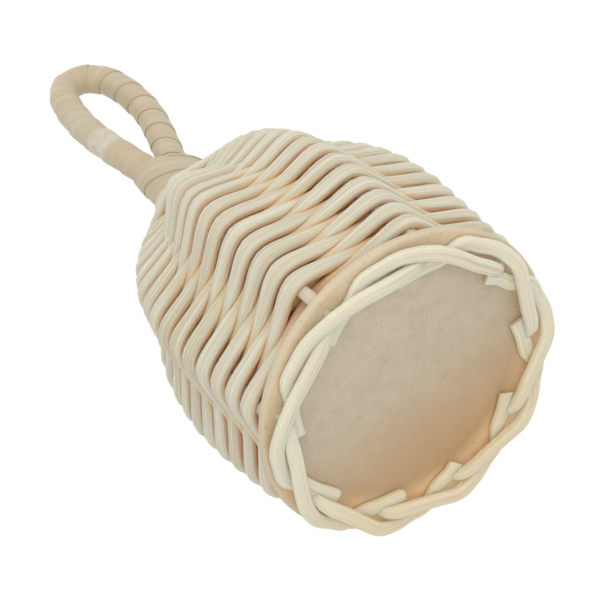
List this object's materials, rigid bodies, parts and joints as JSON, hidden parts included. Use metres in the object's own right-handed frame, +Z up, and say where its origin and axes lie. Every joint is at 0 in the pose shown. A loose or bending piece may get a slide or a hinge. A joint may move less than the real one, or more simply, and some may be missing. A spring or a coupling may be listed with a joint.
{
  "type": "caxixi",
  "caption": "Woven caxixi rattle: a bell-shaped reed basket on a flat base disc, with loose seeds inside and a wrapped finger loop on top.",
  "frame": {"origin": "centre of the plane that the border stands on", "axes": "+Z up the axis of the basket to the finger loop; +X along the width of the loop"},
  "size_m": [0.0846, 0.0838, 0.179],
  "materials": {
    "reed": "pale peeled reed, matt, with fine lengthwise fibres",
    "strip": "flat cane strip, smooth and satin",
    "fibreboard": "raw tan fibreboard, matt, finely flecked",
    "seed": "dry brown seed, satin"
  },
  "bodies": {
    "basket": {"base_disc": "fibreboard", "stake_1": "reed", "stake_2": "reed", "stake_3": "reed", "stake_4": "reed", "stake_5": "reed", "stake_6": "reed", "stake_7": "reed", "stake_8": "reed", "stake_9": "reed", "weaver_01": "reed", "weaver_02": "reed", "weaver_03": "reed", "weaver_04": "reed", "weaver_05": "reed", "weaver_06": "reed", "weaver_07": "reed", "weaver_08": "reed", "weaver_09": "reed", "weaver_10": "reed", "closing_coil": "reed", "handle_core": "reed", "handle_wrap": "strip", "neck_binding": "strip"},
    "seed_01": {"seed_01": "seed"},
    "seed_02": {"seed_02": "seed"},
    "seed_03": {"seed_03": "seed"},
    "seed_04": {"seed_04": "seed"},
    "seed_05": {"seed_05": "seed"},
    "seed_06": {"seed_06": "seed"},
    "seed_07": {"seed_07": "seed"},
    "seed_08": {"seed_08": "seed"},
    "seed_09": {"seed_09": "seed"},
    "seed_10": {"seed_10": "seed"},
    "seed_11": {"seed_11": "seed"},
    "seed_12": {"seed_12": "seed"},
    "seed_13": {"seed_13": "seed"},
    "seed_14": {"seed_14": "seed"}
  },
  "joints": [
    {"name": "seed_01_rise", "type": "slide", "parent": "basket", "child": "seed_01", "axis": [0, 0, 1], "range_m": [0, 0.078]},
    {"name": "seed_02_rise", "type": "slide", "parent": "basket", "child": "seed_02", "axis": [0, 0, 1], "range_m": [0, 0.075]},
    {"name": "seed_03_rise", "type": "slide", "parent": "basket", "child": "seed_03", "axis": [0, 0, 1], "range_m": [0, 0.073]},
    {"name": "seed_04_rise", "type": "slide", "parent": "basket", "child": "seed_04", "axis": [0, 0, 1], "range_m": [0, 0.072]},
    {"name": "seed_05_rise", "type": "slide", "parent": "basket", "child": "seed_05", "axis": [0, 0, 1], "range_m": [0, 0.07]},
    {"name": "seed_06_rise", "type": "slide", "parent": "basket", "child": "seed_06", "axis": [0, 0, 1], "range_m": [0, 0.069]},
    {"name": "seed_07_rise", "type": "slide", "parent": "basket", "child": "seed_07", "axis": [0, 0, 1], "range_m": [0, 0.068]},
    {"name": "seed_08_rise", "type": "slide", "parent": "basket", "child": "seed_08", "axis": [0, 0, 1], "range_m": [0, 0.066]},
    {"name": "seed_09_rise", "type": "slide", "parent": "basket", "child": "seed_09", "axis": [0, 0, 1], "range_m": [0, 0.065]},
    {"name": "seed_10_rise", "type": "slide", "parent": "basket", "child": "seed_10", "axis": [0, 0, 1], "range_m": [0, 0.064]},
    {"name": "seed_11_rise", "type": "slide", "parent": "basket", "child": "seed_11", "axis": [0, 0, 1], "range_m": [0, 0.063]},
    {"name": "seed_12_rise", "type": "slide", "parent": "basket", "child": "seed_12", "axis": [0, 0, 1], "range_m": [0, 0.062]},
    {"name": "seed_13_rise", "type": "slide", "parent": "basket", "child": "seed_13", "axis": [0, 0, 1], "range_m": [0, 0.061]},
    {"name": "seed_14_rise", "type": "slide", "parent": "basket", "child": "seed_14", "axis": [0, 0, 1], "range_m": [0, 0.06]}
  ]
}
